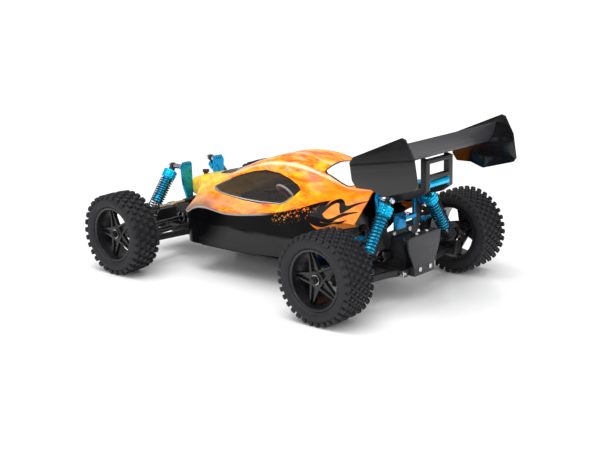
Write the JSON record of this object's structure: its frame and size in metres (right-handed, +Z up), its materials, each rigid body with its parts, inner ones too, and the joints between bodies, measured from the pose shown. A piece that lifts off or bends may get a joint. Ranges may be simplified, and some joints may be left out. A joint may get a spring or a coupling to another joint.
{
  "type": "rc buggy",
  "caption": "Electric off-road radio-control buggy: sprung wishbone suspension, shaft drive, steering, lift-off painted shell, rear wing, spoked wheels.",
  "frame": {"origin": "on the ground under the middle of the bounding box", "axes": "+X forward, +Y to the car's left, +Z up"},
  "size_m": [0.4021, 0.251, 0.1692],
  "materials": {
    "tyre_rubber": "matte black rubber",
    "black_nylon": "satin moulded nylon",
    "spring_steel": "dark coated wire",
    "steel": "turned steel",
    "blue_anodised": "satin blue anodised",
    "motor_can": "plated can",
    "battery_wrap": "shrink wrap",
    "painted_shell": "clear sheet painted in flames from yellow to red over black",
    "gloss_black": "gloss black",
    "dark_alloy": "dark anodised plate"
  },
  "bodies": {
    "chassis": {"chassis_plate": "dark_alloy", "gearbox_housings": "black_nylon", "shock_towers": "blue_anodised", "bumpers": "black_nylon", "rear_wing": "gloss_black", "wing_stay": "black_nylon", "motor": "motor_can", "battery_pack": "battery_wrap", "radio_gear": "black_nylon"},
    "center_drive": {"center_drive": "steel"},
    "motor_pinion": {"motor_pinion": "steel"},
    "front_differential": {"front_differential": "steel"},
    "rear_differential": {"rear_differential": "steel"},
    "drag_link": {"drag_link": "black_nylon"},
    "servo_horn": {"servo_horn": "black_nylon"},
    "body_shell": {"body_shell": "painted_shell"},
    "front_left_arm": {"front_lower_arm_left": "black_nylon"},
    "front_left_carrier": {"front_hub_carrier_left": "black_nylon"},
    "front_left_upper_link": {"front_upper_link_left": "black_nylon"},
    "front_left_drive_shaft": {"front_drive_shaft_left": "steel"},
    "front_left_shock_body": {"front_shock_body_left": "blue_anodised", "front_spring_left": "spring_steel"},
    "front_left_shock_rod": {"front_shock_rod_left": "steel"},
    "front_left_wheel": {"front_tyre_left": "tyre_rubber", "front_rim_left": "black_nylon", "front_stub_axle_left": "steel"},
    "front_left_knuckle": {"steering_knuckle_left": "black_nylon"},
    "left_tie_rod": {"tie_rod_left": "black_nylon"},
    "front_right_arm": {"front_lower_arm_right": "black_nylon"},
    "front_right_carrier": {"front_hub_carrier_right": "black_nylon"},
    "front_right_upper_link": {"front_upper_link_right": "black_nylon"},
    "front_right_drive_shaft": {"front_drive_shaft_right": "steel"},
    "front_right_shock_body": {"front_shock_body_right": "blue_anodised", "front_spring_right": "spring_steel"},
    "front_right_shock_rod": {"front_shock_rod_right": "steel"},
    "front_right_wheel": {"front_tyre_right": "tyre_rubber", "front_rim_right": "black_nylon", "front_stub_axle_right": "steel"},
    "front_right_knuckle": {"steering_knuckle_right": "black_nylon"},
    "right_tie_rod": {"tie_rod_right": "black_nylon"},
    "rear_left_arm": {"rear_lower_arm_left": "black_nylon"},
    "rear_left_carrier": {"rear_hub_carrier_left": "black_nylon"},
    "rear_left_upper_link": {"rear_upper_link_left": "black_nylon"},
    "rear_left_drive_shaft": {"rear_drive_shaft_left": "steel"},
    "rear_left_shock_body": {"rear_shock_body_left": "blue_anodised", "rear_spring_left": "spring_steel"},
    "rear_left_shock_rod": {"rear_shock_rod_left": "steel"},
    "rear_left_wheel": {"rear_tyre_left": "tyre_rubber", "rear_rim_left": "black_nylon", "rear_stub_axle_left": "steel"},
    "rear_right_arm": {"rear_lower_arm_right": "black_nylon"},
    "rear_right_carrier": {"rear_hub_carrier_right": "black_nylon"},
    "rear_right_upper_link": {"rear_upper_link_right": "black_nylon"},
    "rear_right_drive_shaft": {"rear_drive_shaft_right": "steel"},
    "rear_right_shock_body": {"rear_shock_body_right": "blue_anodised", "rear_spring_right": "spring_steel"},
    "rear_right_shock_rod": {"rear_shock_rod_right": "steel"},
    "rear_right_wheel": {"rear_tyre_right": "tyre_rubber", "rear_rim_right": "black_nylon", "rear_stub_axle_right": "steel"}
  },
  "joints": [
    {"name": "center_drive_spin", "type": "hinge", "parent": "chassis", "child": "center_drive", "pos_m": [-0.06, 0, 0.0423], "axis": [1, 0, 0], "continuous": true},
    {"name": "motor_pinion_spin", "type": "hinge", "parent": "chassis", "child": "motor_pinion", "pos_m": [-0.06, -0.02215, 0.0475], "axis": [1, 0, 0], "continuous": true},
    {"name": "front_differential_spin", "type": "hinge", "parent": "chassis", "child": "front_differential", "pos_m": [0.1555, 0, 0.0423], "axis": [0, 1, 0], "continuous": true},
    {"name": "rear_differential_spin", "type": "hinge", "parent": "chassis", "child": "rear_differential", "pos_m": [-0.1195, 0, 0.0423], "axis": [0, 1, 0], "continuous": true},
    {"name": "steering_slide", "type": "slide", "parent": "chassis", "child": "drag_link", "axis": [0, 1, 0], "range_m": [-0.0095, 0.0095]},
    {"name": "servo_horn_turn", "type": "hinge", "parent": "chassis", "child": "servo_horn", "pos_m": [0.114, -0.03, 0.05], "axis": [1, 0, 0], "range_deg": [-43, 43]},
    {"name": "body_shell_lift", "type": "slide", "parent": "chassis", "child": "body_shell", "axis": [0, 0, 1], "range_m": [0, 0.12]},
    {"name": "front_left_suspension", "type": "hinge", "parent": "chassis", "child": "front_left_arm", "pos_m": [0.1555, 0.023, 0.0293], "axis": [1, 0, 0], "range_deg": [-10, 12], "stiffness_Nm_per_rad": 1.6, "springref_deg": -9.74},
    {"name": "front_left_carrier_pivot", "type": "hinge", "parent": "front_left_arm", "child": "front_left_carrier", "pos_m": [0.1555, 0.087, 0.0293], "axis": [1, 0, 0], "range_deg": [-12, 10]},
    {"name": "front_left_upper_link_pivot", "type": "hinge", "parent": "chassis", "child": "front_left_upper_link", "pos_m": [0.141, 0.02, 0.0635], "axis": [1, 0, 0], "range_deg": [-10, 12]},
    {"name": "front_left_drive_shaft_spin", "type": "hinge", "parent": "front_left_arm", "child": "front_left_drive_shaft", "pos_m": [0.1555, 0.023, 0.0423], "axis": [0, 1, 0], "continuous": true},
    {"name": "front_left_shock_pivot", "type": "hinge", "parent": "chassis", "child": "front_left_shock_body", "pos_m": [0.161, 0.0285, 0.099], "axis": [1, 0, 0], "range_deg": [-4, 5]},
    {"name": "front_left_shock_stroke", "type": "slide", "parent": "front_left_shock_body", "child": "front_left_shock_rod", "axis": [0, -0.609, 0.7932], "range_m": [-0.0085, 0.0102], "deforming": ["front_spring_left"]},
    {"name": "left_steering_turn", "type": "hinge", "parent": "front_left_carrier", "child": "front_left_knuckle", "pos_m": [0.1555, 0.087, 0.0423], "axis": [0, 0, 1], "range_deg": [-22, 22]},
    {"name": "left_tie_rod_swing", "type": "hinge", "parent": "drag_link", "child": "left_tie_rod", "pos_m": [0.13, 0.023, 0.0404], "axis": [1, 0, 0], "range_deg": [-10, 12]},
    {"name": "front_left_wheel_spin", "type": "hinge", "parent": "front_left_knuckle", "child": "front_left_wheel", "pos_m": [0.1555, 0.1096, 0.0423], "axis": [0, 1, 0], "continuous": true},
    {"name": "front_right_suspension", "type": "hinge", "parent": "chassis", "child": "front_right_arm", "pos_m": [0.1555, -0.023, 0.0293], "axis": [-1, 0, 0], "range_deg": [-10, 12], "stiffness_Nm_per_rad": 1.6, "springref_deg": -9.74},
    {"name": "front_right_carrier_pivot", "type": "hinge", "parent": "front_right_arm", "child": "front_right_carrier", "pos_m": [0.1555, -0.087, 0.0293], "axis": [-1, 0, 0], "range_deg": [-12, 10]},
    {"name": "front_right_upper_link_pivot", "type": "hinge", "parent": "chassis", "child": "front_right_upper_link", "pos_m": [0.141, -0.02, 0.0635], "axis": [-1, 0, 0], "range_deg": [-10, 12]},
    {"name": "front_right_drive_shaft_spin", "type": "hinge", "parent": "front_right_arm", "child": "front_right_drive_shaft", "pos_m": [0.1555, -0.023, 0.0423], "axis": [0, 1, 0], "continuous": true},
    {"name": "front_right_shock_pivot", "type": "hinge", "parent": "chassis", "child": "front_right_shock_body", "pos_m": [0.161, -0.0285, 0.099], "axis": [-1, 0, 0], "range_deg": [-4, 5]},
    {"name": "front_right_shock_stroke", "type": "slide", "parent": "front_right_shock_body", "child": "front_right_shock_rod", "axis": [0, 0.609, 0.7932], "range_m": [-0.0085, 0.0102], "deforming": ["front_spring_right"]},
    {"name": "right_steering_turn", "type": "hinge", "parent": "front_right_carrier", "child": "front_right_knuckle", "pos_m": [0.1555, -0.087, 0.0423], "axis": [0, 0, 1], "range_deg": [-22, 22]},
    {"name": "right_tie_rod_swing", "type": "hinge", "parent": "drag_link", "child": "right_tie_rod", "pos_m": [0.13, -0.023, 0.0404], "axis": [-1, 0, 0], "range_deg": [-10, 12]},
    {"name": "front_right_wheel_spin", "type": "hinge", "parent": "front_right_knuckle", "child": "front_right_wheel", "pos_m": [0.1555, -0.1096, 0.0423], "axis": [0, 1, 0], "continuous": true},
    {"name": "rear_left_suspension", "type": "hinge", "parent": "chassis", "child": "rear_left_arm", "pos_m": [-0.1195, 0.022, 0.0293], "axis": [1, 0, 0], "range_deg": [-10, 12], "stiffness_Nm_per_rad": 1.6, "springref_deg": -9.74},
    {"name": "rear_left_carrier_pivot", "type": "hinge", "parent": "rear_left_arm", "child": "rear_left_carrier", "pos_m": [-0.1195, 0.082, 0.0293], "axis": [1, 0, 0], "range_deg": [-12, 10]},
    {"name": "rear_left_upper_link_pivot", "type": "hinge", "parent": "chassis", "child": "rear_left_upper_link", "pos_m": [-0.113, 0.019, 0.0635], "axis": [1, 0, 0], "range_deg": [-10, 12]},
    {"name": "rear_left_drive_shaft_spin", "type": "hinge", "parent": "rear_left_arm", "child": "rear_left_drive_shaft", "pos_m": [-0.1195, 0.022, 0.0423], "axis": [0, 1, 0], "continuous": true},
    {"name": "rear_left_shock_pivot", "type": "hinge", "parent": "chassis", "child": "rear_left_shock_body", "pos_m": [-0.132, 0.029, 0.099], "axis": [1, 0, 0], "range_deg": [-4, 5]},
    {"name": "rear_left_shock_stroke", "type": "slide", "parent": "rear_left_shock_body", "child": "rear_left_shock_rod", "axis": [0, -0.5928, 0.8054], "range_m": [-0.0085, 0.0102], "deforming": ["rear_spring_left"]},
    {"name": "rear_left_wheel_spin", "type": "hinge", "parent": "rear_left_carrier", "child": "rear_left_wheel", "pos_m": [-0.1195, 0.1063, 0.0423], "axis": [0, 1, 0], "continuous": true},
    {"name": "rear_right_suspension", "type": "hinge", "parent": "chassis", "child": "rear_right_arm", "pos_m": [-0.1195, -0.022, 0.0293], "axis": [-1, 0, 0], "range_deg": [-10, 12], "stiffness_Nm_per_rad": 1.6, "springref_deg": -9.74},
    {"name": "rear_right_carrier_pivot", "type": "hinge", "parent": "rear_right_arm", "child": "rear_right_carrier", "pos_m": [-0.1195, -0.082, 0.0293], "axis": [-1, 0, 0], "range_deg": [-12, 10]},
    {"name": "rear_right_upper_link_pivot", "type": "hinge", "parent": "chassis", "child": "rear_right_upper_link", "pos_m": [-0.113, -0.019, 0.0635], "axis": [-1, 0, 0], "range_deg": [-10, 12]},
    {"name": "rear_right_drive_shaft_spin", "type": "hinge", "parent": "rear_right_arm", "child": "rear_right_drive_shaft", "pos_m": [-0.1195, -0.022, 0.0423], "axis": [0, 1, 0], "continuous": true},
    {"name": "rear_right_shock_pivot", "type": "hinge", "parent": "chassis", "child": "rear_right_shock_body", "pos_m": [-0.132, -0.029, 0.099], "axis": [-1, 0, 0], "range_deg": [-4, 5]},
    {"name": "rear_right_shock_stroke", "type": "slide", "parent": "rear_right_shock_body", "child": "rear_right_shock_rod", "axis": [0, 0.5928, 0.8054], "range_m": [-0.0085, 0.0102], "deforming": ["rear_spring_right"]},
    {"name": "rear_right_wheel_spin", "type": "hinge", "parent": "rear_right_carrier", "child": "rear_right_wheel", "pos_m": [-0.1195, -0.1063, 0.0423], "axis": [0, 1, 0], "continuous": true}
  ],
  "couplings": [
    {"joint": "motor_pinion_spin", "follows": "center_drive_spin", "ratio": -2.0952},
    {"joint": "front_differential_spin", "follows": "center_drive_spin", "ratio": -0.33333},
    {"joint": "rear_differential_spin", "follows": "center_drive_spin", "ratio": -0.33333},
    {"joint": "servo_horn_turn", "follows": "steering_slide", "rad_per_m": 78.5},
    {"joint": "front_left_carrier_pivot", "follows": "front_left_suspension", "ratio": -1},
    {"joint": "front_left_upper_link_pivot", "follows": "front_left_suspension", "ratio": 1},
    {"joint": "front_left_drive_shaft_spin", "follows": "center_drive_spin", "ratio": -0.33333},
    {"joint": "front_left_shock_pivot", "follows": "front_left_suspension", "ratio": 0.2407},
    {"joint": "front_left_shock_stroke", "follows": "front_left_suspension", "m_per_rad": 0.04696},
    {"joint": "left_steering_turn", "follows": "steering_slide", "rad_per_m": -40.2},
    {"joint": "left_tie_rod_swing", "follows": "front_left_suspension", "ratio": 1},
    {"joint": "front_left_wheel_spin", "follows": "center_drive_spin", "ratio": -0.33333},
    {"joint": "front_right_carrier_pivot", "follows": "front_right_suspension", "ratio": -1},
    {"joint": "front_right_upper_link_pivot", "follows": "front_right_suspension", "ratio": 1},
    {"joint": "front_right_drive_shaft_spin", "follows": "center_drive_spin", "ratio": -0.33333},
    {"joint": "front_right_shock_pivot", "follows": "front_right_suspension", "ratio": 0.2407},
    {"joint": "front_right_shock_stroke", "follows": "front_right_suspension", "m_per_rad": 0.04696},
    {"joint": "right_steering_turn", "follows": "steering_slide", "rad_per_m": -40.2},
    {"joint": "right_tie_rod_swing", "follows": "front_right_suspension", "ratio": 1},
    {"joint": "front_right_wheel_spin", "follows": "center_drive_spin", "ratio": -0.33333},
    {"joint": "rear_left_carrier_pivot", "follows": "rear_left_suspension", "ratio": -1},
    {"joint": "rear_left_upper_link_pivot", "follows": "rear_left_suspension", "ratio": 1},
    {"joint": "rear_left_drive_shaft_spin", "follows": "center_drive_spin", "ratio": -0.33333},
    {"joint": "rear_left_shock_pivot", "follows": "rear_left_suspension", "ratio": 0.3276},
    {"joint": "rear_left_shock_stroke", "follows": "rear_left_suspension", "m_per_rad": 0.04727},
    {"joint": "rear_left_wheel_spin", "follows": "center_drive_spin", "ratio": -0.33333},
    {"joint": "rear_right_carrier_pivot", "follows": "rear_right_suspension", "ratio": -1},
    {"joint": "rear_right_upper_link_pivot", "follows": "rear_right_suspension", "ratio": 1},
    {"joint": "rear_right_drive_shaft_spin", "follows": "center_drive_spin", "ratio": -0.33333},
    {"joint": "rear_right_shock_pivot", "follows": "rear_right_suspension", "ratio": 0.3276},
    {"joint": "rear_right_shock_stroke", "follows": "rear_right_suspension", "m_per_rad": 0.04727},
    {"joint": "rear_right_wheel_spin", "follows": "center_drive_spin", "ratio": -0.33333}
  ]
}
